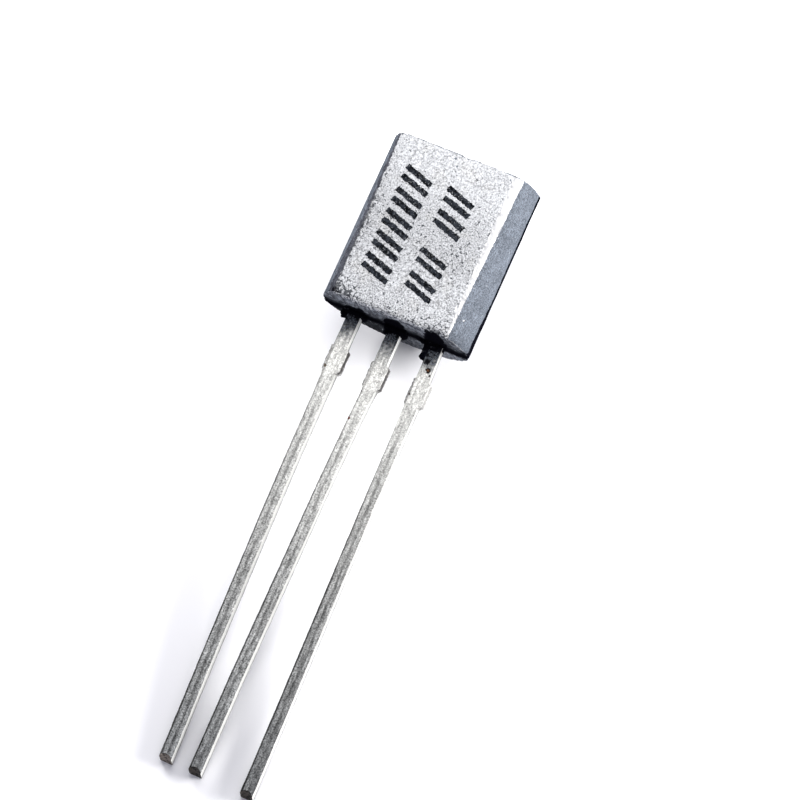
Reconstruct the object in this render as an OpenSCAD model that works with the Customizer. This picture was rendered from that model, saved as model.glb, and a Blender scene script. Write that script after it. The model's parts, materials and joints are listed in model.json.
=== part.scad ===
// Small-signal transistor in a three-lead moulded package.
// The package frame has X across the leads, Y from the flat towards the round
// back, and Z from the leads towards the top end, with the lead end at Z = 0.
// The finished part is laid down as it rests: flat side up, on the round back
// and the lead tips.

/* [Moulded body] */
// Width of the round body, across the row of leads
body_w = 4.52; // [4.4:0.02:4.7]
// Height of the body, from the lead end to the top end
body_h = 5.12; // [4.9:0.02:5.3]
// Distance of the flat in front of the centre of the round back, at the lead end
flat_depth = 1.44; // [1.38:0.01:1.5]
// Lean of the flat towards the centre, going up, in degrees
flat_lean_angle = 0.85; // [0:0.05:1.5]
// Width of the flat at the lead end
flat_w = 3.42; // [3.3:0.02:3.5]
// Turn of the narrow facets away from the flat, in degrees
facet_turn_angle = 30; // [20:1:40]
// Lean of the narrow facets towards the centre, going up, in degrees
facet_lean_angle = 1.15; // [0.5:0.05:2]
// Draft of the two end faces, away from the parting line, in degrees
end_draft_angle = 1.5; // [0.5:0.25:5]
// How far the parting-line flash stands proud
flash_out = 0.03; // [0.02:0.01:0.06]
// Thickness of the parting-line flash
flash_t = 0.05; // [0.03:0.01:0.08]

/* [Resin at the leads] */
// Width of the resin collar round each lead, where it leaves the body
collar_w = 0.68; // [0.6:0.02:0.76]
// Height of the resin collar below the lead end
collar_h = 0.14; // [0.06:0.01:0.2]
// Resin beyond the front and the back of a lead, in its collar
collar_wall = 0.14; // [0.08:0.01:0.24]
// Width of the flash tab beside the emitter lead
tab_w = 0.13; // [0.08:0.01:0.16]
// Length of the flash tab below the lead end
tab_l = 0.52; // [0.3:0.02:0.6]
// Thickness of the flash tab
tab_t = 0.24; // [0.1:0.02:0.3]

/* [Edge chips] */
// Width of the chip in the flat's top edge
top_chip_w = 0.34; // [0.2:0.02:0.5]
// Depth of the chip in the flat's top edge
top_chip_d = 0.04; // [0.02:0.01:0.08]
// Width of the chip in the flat's bottom edge, at the emitter lead
low_chip_w = 0.7; // [0.4:0.02:0.9]
// Depth of the chip in the flat's bottom edge
low_chip_d = 0.11; // [0.04:0.01:0.14]

/* [Leads] */
// Distance between neighbouring leads
lead_pitch = 1.27; // [1.2:0.01:1.34]
// Width of a lead
lead_w = 0.41; // [0.38:0.01:0.46]
// Thickness of the lead frame
lead_t = 0.4; // [0.36:0.01:0.44]
// Length of the leads below the body
lead_l = 13.76; // [12.7:0.02:14.5]
// Distance of the lead plane behind the centre of the round back
lead_back = 0.15; // [0.05:0.01:0.25]
// Sideways offset of the lead frame in the mould
frame_shift = 0.03; // [0:0.01:0.06]
// Distance from the body to the cut dam bar
dam_drop = 1.1; // [1:0.02:1.5]
// Height of the dam-bar stubs along the lead
dam_h = 0.8; // [0.5:0.02:0.9]
// Width of the dam-bar stub on the collector side of a lead
dam_left = 0.05; // [0.03:0.01:0.09]
// Width of the dam-bar stub on the emitter side of a lead
dam_right = 0.1; // [0.05:0.01:0.13]
// Height of the slanted cut at a lead's tip
tip_slant = 0.12; // [0.06:0.01:0.2]
// Height of the arch that the cutter leaves above the slanted cut
tip_arch = 0.12; // [0.06:0.01:0.2]

/* [Inner lead frame] */
// Width of the die pad, from the collector lead's outer edge
pad_w = 2.18; // [1.9:0.02:2.3]
// Height of the die pad
pad_h = 1.5; // [1.2:0.05:1.7]
// Height of the die pad's lower edge above the lead end
pad_rise = 2.4; // [2.3:0.05:2.6]
// Gap between the die pad and each bonding post
post_gap = 0.3; // [0.2:0.02:0.4]
// Width of the base lead's bonding post
base_post_w = 0.86; // [0.7:0.02:1]
// Height of the base lead's bonding post
base_post_h = 0.55; // [0.4:0.05:0.7]
// Width of the emitter lead's bonding post
emitter_post_w = 0.7; // [0.6:0.02:0.8]
// Height of the emitter lead's bonding post
emitter_post_h = 0.9; // [0.6:0.05:1.1]
// Radius of the notches that lock the leads in the resin
lock_r = 0.09; // [0.06:0.01:0.12]

/* [Chip and wires] */
// Side of the square chip
chip_w = 0.46; // [0.36:0.02:0.6]
// Thickness of the chip
chip_t = 0.2; // [0.15:0.01:0.25]
// Thickness of the solder under the chip
solder_t = 0.03; // [0.02:0.01:0.05]
// How far the solder spreads past the chip on each side
solder_out = 0.04; // [0.02:0.01:0.08]
// Diameter of a bond wire
wire_d = 0.03; // [0.025:0.005:0.05]
// Diameter of the ball at the chip end of a bond wire
ball_d = 0.08; // [0.07:0.005:0.1]
// Rise of a bond wire above the chip, before it bends
wire_rise = 0.12; // [0.08:0.01:0.2]
// Bend radius of a bond wire
wire_bend = 0.1; // [0.08:0.01:0.15]

/* [Hidden] */

// Facets of the round back, and of small round features
round_fn = 120;
small_fn = 24;
// Cutting blocks reach this far, well past the body
reach = 2 * body_h;
// A cut starts this far outside the face that it goes through
over = 0.5;

// Body
body_r = body_w / 2;
body_resin = [0.42, 0.43, 0.46];
front_y = -flat_depth;

// Lead frame: front and back faces, and the leads' centre lines at the body
lead_front = lead_back - lead_t / 2;
lead_rear = lead_back + lead_t / 2;
collector_x = frame_shift - lead_pitch;
base_x = frame_shift;
emitter_x = frame_shift + lead_pitch;
tinned = [0.78, 0.78, 0.74];
lead_bottom = -lead_l;
dam_bottom = -dam_drop - dam_h;

// How far each lead is bent sideways, at a distance below its dam-bar stubs
collector_bend = [[0, 0], [3, 0.03], [6, 0.11], [9, 0.2], [12, 0.31]];
base_bend = [[0, 0], [1, -0.04], [3, -0.07], [9, -0.08], [12, -0.05]];
emitter_bend = [[0, 0.04], [3, 0.08], [6, 0.15], [9, 0.22], [12, 0.28]];

// Inner lead frame
pad_left = collector_x - lead_w / 2;
pad_right = pad_left + pad_w;
pad_top = pad_rise + pad_h;
base_post_top = pad_rise - post_gap;
base_post_low = base_post_top - base_post_h;
emitter_post_left = pad_right + post_gap;
emitter_post_top = pad_rise + pad_h / 2 + emitter_post_h / 2;
emitter_post_low = emitter_post_top - emitter_post_h;
// A post or pad widens from its lead over this height
taper_h = 0.2;
// Height of the locking notches, above the lead end
lock_rise = 0.9;

// Chip, centred over the base lead on the die pad
chip_x = base_x;
chip_z = pad_rise + pad_h / 2;
chip_front = lead_front - solder_t - chip_t;
// Bond pads lie this share of the chip's side from its centre
bond_share = 0.24;
// Height of a flattened ball, and size of a stitch on a post
ball_h = 0.03;
stitch_w = 0.07;
stitch_l = 0.12;
stitch_h = 0.015;
// Sides of a bond wire, and steps in its bend
wire_sides = 10;
bend_steps = 6;

// Rest: the lead end's back rim and the rear edges of the lead tips touch the
// ground, which turns the part by this much about X
rim_z = (body_r - lead_back) * tan(end_draft_angle);
rest_lean = atan((body_r - lead_rear) / (lead_l + rim_z));
lift = body_r * cos(rest_lean) - rim_z * sin(rest_lean);
laid_top = body_r * sin(rest_lean) + (body_h - rim_z) * cos(rest_lean);
laid_tip = lead_rear * sin(rest_lean) - lead_l * cos(rest_lean);

// Lays the standing package on its back, with the origin on the ground under
// the middle of its outline
module laid() {
    translate([0, -(laid_top + laid_tip) / 2, lift])
        rotate([rest_lean - 90, 0, 0])
            children();
}

// A flat plate cut from the (x, z) outline in children, from y0 to y0 + t
module plate(y0, t) {
    translate([0, y0 + t, 0])
        rotate([90, 0, 0])
            linear_extrude(height = t)
                children();
}

// Sideways place of a lead's centre line at height z
function lead_x(x0, bend, z) = x0 + lookup(max(dam_bottom - z, 0), bend);

// Place of the flat at height z, and how far the drafted lead end rises at y
function flat_y(z) = front_y + z * tan(flat_lean_angle);
function end_rise(y) = abs(lead_back - y) * tan(end_draft_angle);

// ---- Moulded body ----

// Side view of the body: two halves, each drafted away from the lead plane
module side_profile() {
    front_rise = end_rise(front_y);
    polygon([
        [lead_back, 0], [front_y, front_rise], [front_y, body_h - front_rise],
        [lead_back, body_h], [body_r, body_h - rim_z], [body_r, rim_z]
    ]);
}

// Half-space in front of a plane that leans back by lean degrees, turned about
// a vertical line through [x, front_y]
module front_cut(x, turn, lean) {
    translate([x, front_y, 0])
        rotate([0, 0, turn])
            rotate([-lean, 0, 0])
                translate([-reach, -2 * reach, -reach])
                    cube([2 * reach, 2 * reach, 2 * reach]);
}

module facet_cut(side) {
    front_cut(side * flat_w / 2, side * facet_turn_angle, facet_lean_angle);
}

module body_block() {
    difference() {
        intersection() {
            translate([0, 0, -over])
                cylinder(r = body_r, h = body_h + 2 * over, $fn = round_fn);
            rotate([90, 0, 90])
                linear_extrude(height = 2 * reach, center = true)
                    side_profile();
        }
        front_cut(0, 0, flat_lean_angle);
        facet_cut(-1);
        facet_cut(1);
    }
}

// Thin flash round the body where the two mould halves met
module parting_flash() {
    half = sqrt(pow(body_r, 2) - pow(lead_back, 2)) + flash_out;
    plate(lead_back - flash_t / 2, flash_t)
        translate([-half, -flash_out])
            square([2 * half, body_h + 2 * flash_out]);
}

// Resin that crept down round a lead and narrows away from the body
module collar(x) {
    plate(lead_front - collar_wall, lead_t + 2 * collar_wall)
        translate([x, 0])
            polygon([
                [-collar_w / 2, collar_h], [collar_w / 2, collar_h],
                [collar_w / 2 - collar_h / 2, -collar_h],
                [collar_h / 2 - collar_w / 2, -collar_h]
            ]);
}

// Flash that ran down the collector side of the emitter lead
module flash_tab() {
    edge = emitter_x - lead_w / 2;
    plate(lead_back - tab_t / 2, tab_t)
        polygon([
            [edge - tab_w, 0], [edge + lead_w / 2, 0],
            [edge + lead_w / 2, -tab_l], [edge - tab_w / 2, -tab_l],
            [edge - tab_w, -tab_l + tab_w / 2]
        ]);
}

// Shallow round bite out of the flat's edge at [x, z], on its side called out
module edge_chip(x, z, w, d, out) {
    bite_r = (pow(w / 2, 2) + pow(d, 2)) / (2 * d);
    translate([x, flat_y(z), z + out * (bite_r - d)])
        sphere(r = bite_r, $fn = round_fn);
}

module moulded_body() {
    top_edge_z = body_h - end_rise(flat_y(body_h));
    low_edge_z = end_rise(front_y);
    color(body_resin)
        laid()
            difference() {
                union() {
                    body_block();
                    parting_flash();
                    collar(collector_x);
                    collar(base_x);
                    collar(emitter_x);
                    flash_tab();
                }
                edge_chip(base_x + top_chip_w / 2, top_edge_z, top_chip_w, top_chip_d, 1);
                edge_chip(emitter_x, low_edge_z, low_chip_w, low_chip_d, -1);
                collector_form();
                base_form();
                emitter_form();
                solder_form();
                chip_form();
                base_wire_form();
                emitter_wire_form();
            }
}

// ---- Leads ----

// One edge of a lead, from height top down to its tip. The stub is what the
// cutter left there of the bar that joined the leads.
function lead_edge(x0, bend, top, side, stub) = [
    [x0 + side * lead_w / 2, top],
    [x0 + side * lead_w / 2, 0],
    [lead_x(x0, bend, dam_bottom) + side * lead_w / 2, -dam_drop],
    [lead_x(x0, bend, dam_bottom) + side * (lead_w / 2 + stub), -dam_drop - stub / 2],
    [lead_x(x0, bend, dam_bottom) + side * (lead_w / 2 + stub), dam_bottom + stub],
    [lead_x(x0, bend, dam_bottom) + side * lead_w / 2, dam_bottom],
    for (point = bend) if (point[0] > 0 && dam_bottom - point[0] > lead_bottom)
        [x0 + point[1] + side * lead_w / 2, dam_bottom - point[0]],
    [lead_x(x0, bend, lead_bottom) + side * lead_w / 2, lead_bottom]
];

// Outline of a lead, with its dam-bar stubs and its sideways bend
module lead_outline(x0, bend, top) {
    left = lead_edge(x0, bend, top, -1, dam_left);
    right = lead_edge(x0, bend, top, 1, dam_right);
    polygon(concat(left, [for (i = [len(right) - 1:-1:0]) right[i]]));
}

// Material that the cutter took off a lead's tip: a slanted plane and an arch
module tip_cut(x) {
    slant = atan(tip_slant / lead_t);
    arch_r = (pow(lead_w / 2, 2) + pow(tip_arch, 2)) / (2 * tip_arch);
    translate([x, lead_rear, lead_bottom])
        rotate([-slant, 0, 0])
            translate([-reach, -reach, -reach])
                cube([2 * reach, reach + over, reach]);
    translate([x, lead_rear, lead_bottom])
        rotate([90 - atan((tip_slant + tip_arch) / lead_t), 0, 0])
            translate([0, -arch_r, -over])
                cylinder(r = arch_r, h = reach, $fn = 2 * small_fn);
}

// Round notches on both sides of a lead, filled by the resin
module lock_notches(x) {
    for (side = [-1, 1])
        translate([x + side * lead_w / 2, lock_rise])
            circle(r = lock_r, $fn = small_fn);
}

module lead_form(x0, bend, top) {
    difference() {
        plate(lead_front, lead_t)
            difference() {
                union() {
                    lead_outline(x0, bend, top);
                    children();
                }
                lock_notches(x0);
            }
        tip_cut(lead_x(x0, bend, lead_bottom));
    }
}

// Collector lead, which carries the die pad
module collector_form() {
    lead_form(collector_x, collector_bend, pad_rise + taper_h)
        polygon([
            [pad_left, pad_rise], [pad_left + lead_w, pad_rise - taper_h],
            [pad_left + lead_w + taper_h, pad_rise], [pad_right, pad_rise],
            [pad_right, pad_top], [pad_left + taper_h, pad_top],
            [pad_left, pad_top - taper_h]
        ]);
}

// Base lead, which ends in a bonding post under the die pad
module base_form() {
    lead_form(base_x, base_bend, base_post_low)
        translate([base_x, 0])
            polygon([
                [-lead_w / 2, base_post_low - taper_h], [lead_w / 2, base_post_low - taper_h],
                [base_post_w / 2, base_post_low], [base_post_w / 2, base_post_top],
                [-base_post_w / 2, base_post_top], [-base_post_w / 2, base_post_low]
            ]);
}

// Emitter lead, which ends in a bonding post beside the die pad
module emitter_form() {
    lead_form(emitter_x, emitter_bend, emitter_post_low)
        polygon([
            [emitter_x - lead_w / 2, emitter_post_low - taper_h],
            [emitter_x + lead_w / 2, emitter_post_low - taper_h],
            [emitter_post_left + emitter_post_w, emitter_post_low],
            [emitter_post_left + emitter_post_w, emitter_post_top],
            [emitter_post_left, emitter_post_top],
            [emitter_post_left, emitter_post_low]
        ]);
}

module collector_lead() {
    color(tinned) laid() collector_form();
}

module base_lead() {
    color(tinned) laid() base_form();
}

module emitter_lead() {
    color(tinned) laid() emitter_form();
}

// ---- Chip and wires ----

module chip_form() {
    plate(chip_front, chip_t)
        translate([chip_x, chip_z])
            square(chip_w, center = true);
}

module solder_form() {
    plate(lead_front - solder_t, solder_t)
        translate([chip_x, chip_z])
            square(chip_w + 2 * solder_out, center = true);
}

// Round wire along a path of [x, z, heading] points in the XZ plane, where the
// heading is in degrees above X
module flat_wire(path) {
    rings = [for (p = path) for (i = [0:wire_sides - 1])
        let (around = 360 * i / wire_sides)
        [p[0] - wire_d / 2 * cos(around) * sin(p[2]),
         wire_d / 2 * sin(around),
         p[1] + wire_d / 2 * cos(around) * cos(p[2])]];
    last = len(path) - 1;
    polyhedron(
        points = rings,
        faces = concat(
            [[for (i = [wire_sides - 1:-1:0]) i]],
            [[for (i = [0:wire_sides - 1]) last * wire_sides + i]],
            [for (ring = [0:last - 1]) for (i = [0:wire_sides - 1])
                let (next = (i + 1) % wire_sides)
                [ring * wire_sides + i, ring * wire_sides + next,
                 (ring + 1) * wire_sides + next, (ring + 1) * wire_sides + i]]
        )
    );
}

// A bond wire in its own upright plane. It starts on the chip's face at the
// origin, runs along X, and its loop stands up along Z. The post's face lies
// drop below the chip's face, span away.
module wire_loop(span, drop) {
    high = drop + wire_rise;
    run = sqrt(pow(span - wire_bend, 2) + pow(high, 2));
    dive = atan2(high, span - wire_bend) + asin(wire_bend / run);
    slope = (high + wire_bend * cos(dive)) / sin(dive) + wire_d;
    arc = [for (i = [0:bend_steps])
        let (heading = 90 - i * (90 + dive) / bend_steps)
        [wire_bend * (1 - sin(heading)), wire_rise + wire_bend * cos(heading), heading]];
    landing = [arc[bend_steps][0] + slope * cos(dive),
               arc[bend_steps][1] - slope * sin(dive), -dive];
    difference() {
        union() {
            cylinder(d = ball_d, h = ball_h, $fn = small_fn);
            flat_wire(concat([[0, ball_h / 2, 90]], arc, [landing]));
            translate([span - stitch_l / 2, -stitch_w / 2, -drop])
                cube([stitch_l, stitch_w, stitch_h]);
        }
        // the post's own metal
        translate([0, -over, -drop - over])
            cube([span + over, 2 * over, over]);
    }
}

// Places a bond wire from a point [x, z] on the chip to a point on a post
module bond(from, to) {
    across = to - from;
    translate([from[0], chip_front, from[1]])
        rotate([90, 0, 0])
            rotate([0, 0, atan2(across[1], across[0])])
                wire_loop(norm(across), solder_t + chip_t);
}

module base_wire_form() {
    bond([chip_x - bond_share * chip_w, chip_z - bond_share * chip_w],
         [base_x - bond_share * chip_w, (base_post_low + base_post_top) / 2]);
}

module emitter_wire_form() {
    bond([chip_x + bond_share * chip_w, chip_z + bond_share * chip_w],
         [emitter_post_left + emitter_post_w / 2, chip_z]);
}

module chip() {
    color([0.25, 0.27, 0.32]) laid() chip_form();
}

module chip_solder() {
    color([0.6, 0.6, 0.62]) laid() solder_form();
}

module base_wire() {
    color([0.9, 0.72, 0.3]) laid() base_wire_form();
}

module emitter_wire() {
    color([0.9, 0.72, 0.3]) laid() emitter_wire_form();
}

moulded_body();
collector_lead();
base_lead();
emitter_lead();
chip();
chip_solder();
base_wire();
emitter_wire();
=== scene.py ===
import json
import math

import bmesh
import bpy
from bpy.props import FloatProperty, FloatVectorProperty, IntProperty, PointerProperty
from mathutils import Euler, Matrix, Vector, kdtree, noise


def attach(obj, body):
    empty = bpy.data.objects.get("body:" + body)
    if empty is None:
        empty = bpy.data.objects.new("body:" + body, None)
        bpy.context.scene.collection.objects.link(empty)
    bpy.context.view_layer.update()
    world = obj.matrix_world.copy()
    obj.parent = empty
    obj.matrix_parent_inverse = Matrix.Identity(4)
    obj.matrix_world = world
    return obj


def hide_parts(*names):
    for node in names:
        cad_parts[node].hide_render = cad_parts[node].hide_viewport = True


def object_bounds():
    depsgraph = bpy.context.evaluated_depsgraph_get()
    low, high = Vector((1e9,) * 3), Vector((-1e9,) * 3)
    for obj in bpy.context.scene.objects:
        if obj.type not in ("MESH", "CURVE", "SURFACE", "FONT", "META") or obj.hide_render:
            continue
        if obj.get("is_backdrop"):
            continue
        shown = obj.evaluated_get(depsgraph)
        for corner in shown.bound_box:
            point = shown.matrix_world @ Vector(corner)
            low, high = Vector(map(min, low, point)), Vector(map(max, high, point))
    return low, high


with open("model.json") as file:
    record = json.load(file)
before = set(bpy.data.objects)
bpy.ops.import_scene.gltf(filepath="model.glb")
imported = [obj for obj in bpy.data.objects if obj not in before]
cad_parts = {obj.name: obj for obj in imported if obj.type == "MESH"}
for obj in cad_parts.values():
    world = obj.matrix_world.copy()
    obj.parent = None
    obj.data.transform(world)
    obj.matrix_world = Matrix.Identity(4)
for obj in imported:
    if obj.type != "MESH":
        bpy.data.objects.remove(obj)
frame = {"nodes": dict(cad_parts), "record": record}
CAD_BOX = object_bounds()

bl_info = {
    "name": "Moulded transistor",
    "version": (1, 0, 0),
    "blender": (4, 5, 0),
    "location": "View3D > Sidebar > Transistor",
    "description": "Dresses a small moulded transistor: resin body, tinned leads and printed marks",
    "category": "Add Mesh",
}

MM = 0.001
ROOT = "root"

# ---- The package frame ----
# X across the leads, Y from the flat to the round back, Z from the lead tips to the top end, in
# millimetres, with the lead end of the body at Z = 0. Pieces are made in it, then laid down.

FRAME_SHIFT = 0.03
LEAD_BACK = 0.15
LEAD_PITCH = 1.27
LEAD_THICKNESS = 0.4
LEAD_FRONT = LEAD_BACK - LEAD_THICKNESS / 2
FLASH_OUT = 0.03
FLAT_WIDTH = 3.42
FLAT_LEAN = math.radians(0.85)
FACET_TURN = math.radians(30)
FACET_LEAN = math.radians(1.15)
END_DRAFT = math.radians(1.5)
LEADS = {
    "collector_lead": FRAME_SHIFT - LEAD_PITCH,
    "base_lead": FRAME_SHIFT,
    "emitter_lead": FRAME_SHIFT + LEAD_PITCH,
}
# The cut-off dam bar leaves a stub on each side of a lead, between these heights
STUB_TOP = -1.1
STUB_LOW = -1.9


def package_matrix():
    """From the package frame in millimetres to the row frame in metres."""
    mount = next(m for m in frame["record"]["mounts"] if m["name"] == "lead_row")
    across = Vector((1, 0, 0))
    along = -Vector(mount["axis"]).normalized()
    back = along.cross(across)
    seat = Vector(mount["pos_m"]) - MM * (FRAME_SHIFT * across + LEAD_BACK * back)
    turned = Matrix((across, back, along)).transposed().to_4x4()
    return Matrix.Translation(seat) @ turned @ Matrix.Scale(MM, 4)


PACKAGE = package_matrix()


def package_points(node):
    """The corners of a CAD node, in the package frame."""
    unlaid = PACKAGE.inverted()
    return [unlaid @ vert.co for vert in frame["nodes"][node].data.vertices]


def package_box(node):
    """Lowest and highest corner of a CAD node, in the package frame."""
    points = package_points(node)
    low = Vector([min(p[i] for p in points) for i in range(3)])
    high = Vector([max(p[i] for p in points) for i in range(3)])
    return low, high


BODY_LOW, BODY_HIGH = package_box("moulded_body")
BODY_RADIUS = BODY_HIGH.y
FLAT_DEPTH = -BODY_LOW.y
BODY_HEIGHT = BODY_HIGH.z - FLASH_OUT
LEAD_TIP = package_box("base_lead")[0].z


def flat_y(z):
    """Place of the flat at height z."""
    return -FLAT_DEPTH + z * math.tan(FLAT_LEAN)


# ---- Sizes and colours that a user would change ----


def colour(name, description, default):
    return FloatVectorProperty(
        name=name, description=description, default=default, size=3, subtype="COLOR", min=0, max=1)


def length(name, description, default, least, most):
    """A length, given in millimetres."""
    return FloatProperty(
        name=name, description=description, default=default * MM, min=least * MM, max=most * MM,
        unit="LENGTH")


def place(name, description, *default):
    """A place in the scene, given in millimetres."""
    return FloatVectorProperty(
        name=name, description=description, default=[part * MM for part in default], size=3,
        subtype="TRANSLATION", unit="LENGTH")


def amount(name, description, default, least, most):
    return FloatProperty(name=name, description=description, default=default, min=least, max=most)


class BodySettings(bpy.types.PropertyGroup):
    round_steps: IntProperty(
        name="Round steps", description="Facets round the back of the body", default=144, min=48, max=240)
    grid: length("Grid", "Spacing of the surface grid that carries the wear", 0.04, 0.03, 0.2)
    edge_round: length("Edge rounding", "Width of the rounding along the moulded edges", 0.03, 0.01, 0.08)
    edge_wear: length("Edge wear", "Deepest nibble in a moulded edge", 0.05, 0, 0.1)
    # The flat's silvery colour is painted glare on black resin; the facets' bright colour is a painted
    # highlight.
    flat_colour: colour("Flat", "Colour of the silvery flat face", (0.342, 0.35, 0.363))
    speck_colour: colour("Specks", "Colour of the dark specks in the flat face", (0.022, 0.025, 0.031))
    facet_colour: colour("Facets", "Colour of the two narrow facets", (0.37, 0.372, 0.38))
    side_colour: colour("Sides", "Colour of the round side", (0.096, 0.108, 0.128))
    # The lead end's colour is painted lighter than the resin, as painted light.
    end_colour: colour("Ends", "Colour of the two end faces", (0.165, 0.177, 0.202))
    stain_colour: colour(
        "Black resin", "Colour of the resin film and flash at the leads", (0.003, 0.003, 0.005))


class LeadSettings(bpy.types.PropertyGroup):
    edge_round: length("Edge rounding", "Width of the rounding along a lead's edges", 0.03, 0.01, 0.1)
    roll: length("Rolled edge", "Width of the corner that the stamping rolled over", 0.05, 0.02, 0.12)
    slice: length("Slices", "Spacing of the cross-sections that carry the waviness", 0.06, 0.03, 0.5)
    waviness: length("Waviness", "Unevenness of the tinned edges", 0.012, 0, 0.05)
    near_colour: colour(
        "Fresh tin", "Colour of the fresh tin round the dam-bar stubs", (0.65, 0.648, 0.62))
    worn_colour: colour(
        "Worn tin", "Colour of the tin just below the dam-bar stubs", (0.54, 0.54, 0.518))
    far_colour: colour(
        "Tin at the tips", "Colour of the dull tin at the lead tips", (0.203, 0.209, 0.211))
    # Painted shade and reflection of the dark body, partly a black resin film.
    body_shade_colour: colour(
        "Tin at the body", "Colour of the darkened tin close to the body", (0.035, 0.039, 0.045))
    cut_colour: colour(
        "Cut metal", "Colour of the cut faces at the lead tips and the stubs", (0.022, 0.018, 0.016))


class MarkSettings(bpy.types.PropertyGroup):
    stroke: length("Stroke", "Width of a printed stroke", 0.17, 0.08, 0.25)
    height: length("Height", "Height of a row of marks, across the flat", 0.92, 0.5, 1.1)
    ink_colour: colour("Ink", "Colour of the printed marks", (0.007, 0.008, 0.01))


class StageSettings(bpy.types.PropertyGroup):
    camera_place: place("Camera place", "Where the camera stands", 14.92, -16.53, 68.44)
    camera_turn: FloatVectorProperty(
        name="Camera turn", description="How the camera is turned",
        default=(math.radians(19.0), math.radians(4.07), math.radians(24.88)), size=3, subtype="EULER")
    lens: amount("Lens", "Focal length of the camera, in millimetres", 112.3, 20, 300)
    sky: amount("Sky", "Brightness of the light tent", 0.42, 0, 3)
    sky_right: amount("Right", "How much brighter the tent is on the right", 0.06, -1, 1)
    sky_far: amount("Far", "How much brighter the tent is beyond the top end", 0.1, -1, 1)
    sky_colour: colour("Sky colour", "Colour of the light tent", (0.86, 0.87, 1.0))
    left_light: amount("Left light", "Power of the low lamp on the left, in watts", 0.027, 0, 10)
    left_place: place("Left place", "Where the left lamp stands", -38, 30, 22)
    right_light: amount("Right light", "Power of the low lamp on the right, in watts", 0.043, 0, 10)
    right_place: place("Right place", "Where the right lamp stands", 40, 16, 18)
    top_light: amount(
        "Top light", "Power of the lamp that hangs near the top end, in watts", 0.0062, 0, 10)
    top_place: place("Top place", "Where the top lamp hangs", 0, 17, 27)
    lamp_width: length("Lamp width", "Width of each of the lamps", 26, 5, 100)
    lamp_target: place("Lamp target", "The place that the lamps face", 0, 7, 2)
    lamp_colour: colour("Lamp colour", "Colour of the lamps", (1.0, 0.99, 0.975))
    floor_glow: amount(
        "Floor glow", "Light that the floor gives by itself, as a light table does", 0.04, 0, 2)
    floor_colour: colour("Floor", "Colour of the floor", (0.88, 0.88, 0.9))


# ---- Materials ----

# Nearly all of a noise lies between these
NOISE_LOW = 0.3
NOISE_HIGH = 0.7
# A Mix node's numbered sockets for the share and the two colours, and for the mixed colour
MIX_INPUTS = (0, 6, 7)
MIX_RESULT = 2


def plug(socket, value):
    """Gives a socket a number, a colour or a link."""
    if isinstance(value, bpy.types.NodeSocket):
        socket.id_data.links.new(value, socket)
    elif isinstance(socket.default_value, float):
        socket.default_value = value
    else:
        socket.default_value = (*value, 1.0)[:len(socket.default_value)]


def add_node(tree, kind, sockets=None, **settings):
    """A new node, with its settings and with what its sockets, by name or number, are given."""
    made = tree.nodes.new("ShaderNode" + kind)
    for key, value in settings.items():
        setattr(made, key, value)
    for key, value in (sockets or {}).items():
        plug(made.inputs[key], value)
    return made


def worked(kind, sockets, **settings):
    """A new node in the node tree that the links in its sockets come from."""
    links = (value for value in sockets.values() if isinstance(value, bpy.types.NodeSocket))
    return add_node(next(links).id_data, kind, sockets, **settings)


def maths(operation, first, *others):
    """One operation worked on the first value with each of the others in turn."""
    for other in others:
        first = worked("Math", {0: first, 1: other}, operation=operation).outputs[0]
    return first


def total(*values):
    return maths("ADD", *values)


def less(value, taken):
    return maths("SUBTRACT", value, taken)


def product(*values):
    return maths("MULTIPLY", *values)


def most(*values):
    return maths("MAXIMUM", *values)


def apart(value, middle=0.0):
    """How far a value lies from a middle, on either side of it."""
    return worked("Math", {0: less(value, middle)}, operation="ABSOLUTE").outputs[0]


def ramp(value, low, high, to_low=0.0, to_high=1.0, kind="SMOOTHSTEP"):
    """A value that runs from to_low to to_high while the given one runs from low to high."""
    ends = {"From Min": low, "From Max": high, "To Min": to_low, "To Max": to_high}
    mapped = worked("MapRange", {"Value": value, **ends}, interpolation_type=kind, clamp=True)
    return mapped.outputs["Result"]


def zone(*ramps):
    """The product of ramps, so 1 only where each of them is. Each is given as ramp takes it."""
    return product(*(ramp(*ends) for ends in ramps))


def shifted(value, pattern, reach):
    """A value moved up or down by a pattern of 0 to 1, by the reach at most."""
    return total(value, ramp(pattern, NOISE_LOW, NOISE_HIGH, -reach, reach, "LINEAR"))


def around_one(pattern, swing):
    """A factor near 1 that follows a pattern of 0 to 1, by the swing either way."""
    signed = ramp(pattern, NOISE_LOW, NOISE_HIGH, -1.0, 1.0, "LINEAR")
    return total(1.0, product(signed, swing))


def mix(share, first, second, blend="MIX"):
    """Two colours mixed by a share of 0 to 1."""
    sockets = dict(zip(MIX_INPUTS, (share, first, second)))
    mixed = worked("Mix", sockets, data_type="RGBA", blend_type=blend, clamp_result=True)
    return mixed.outputs[MIX_RESULT]


def scaled(colour, factor):
    """A colour made lighter or darker by a factor."""
    return worked("VectorMath", {0: colour, "Scale": factor}, operation="SCALE").outputs[0]


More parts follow.
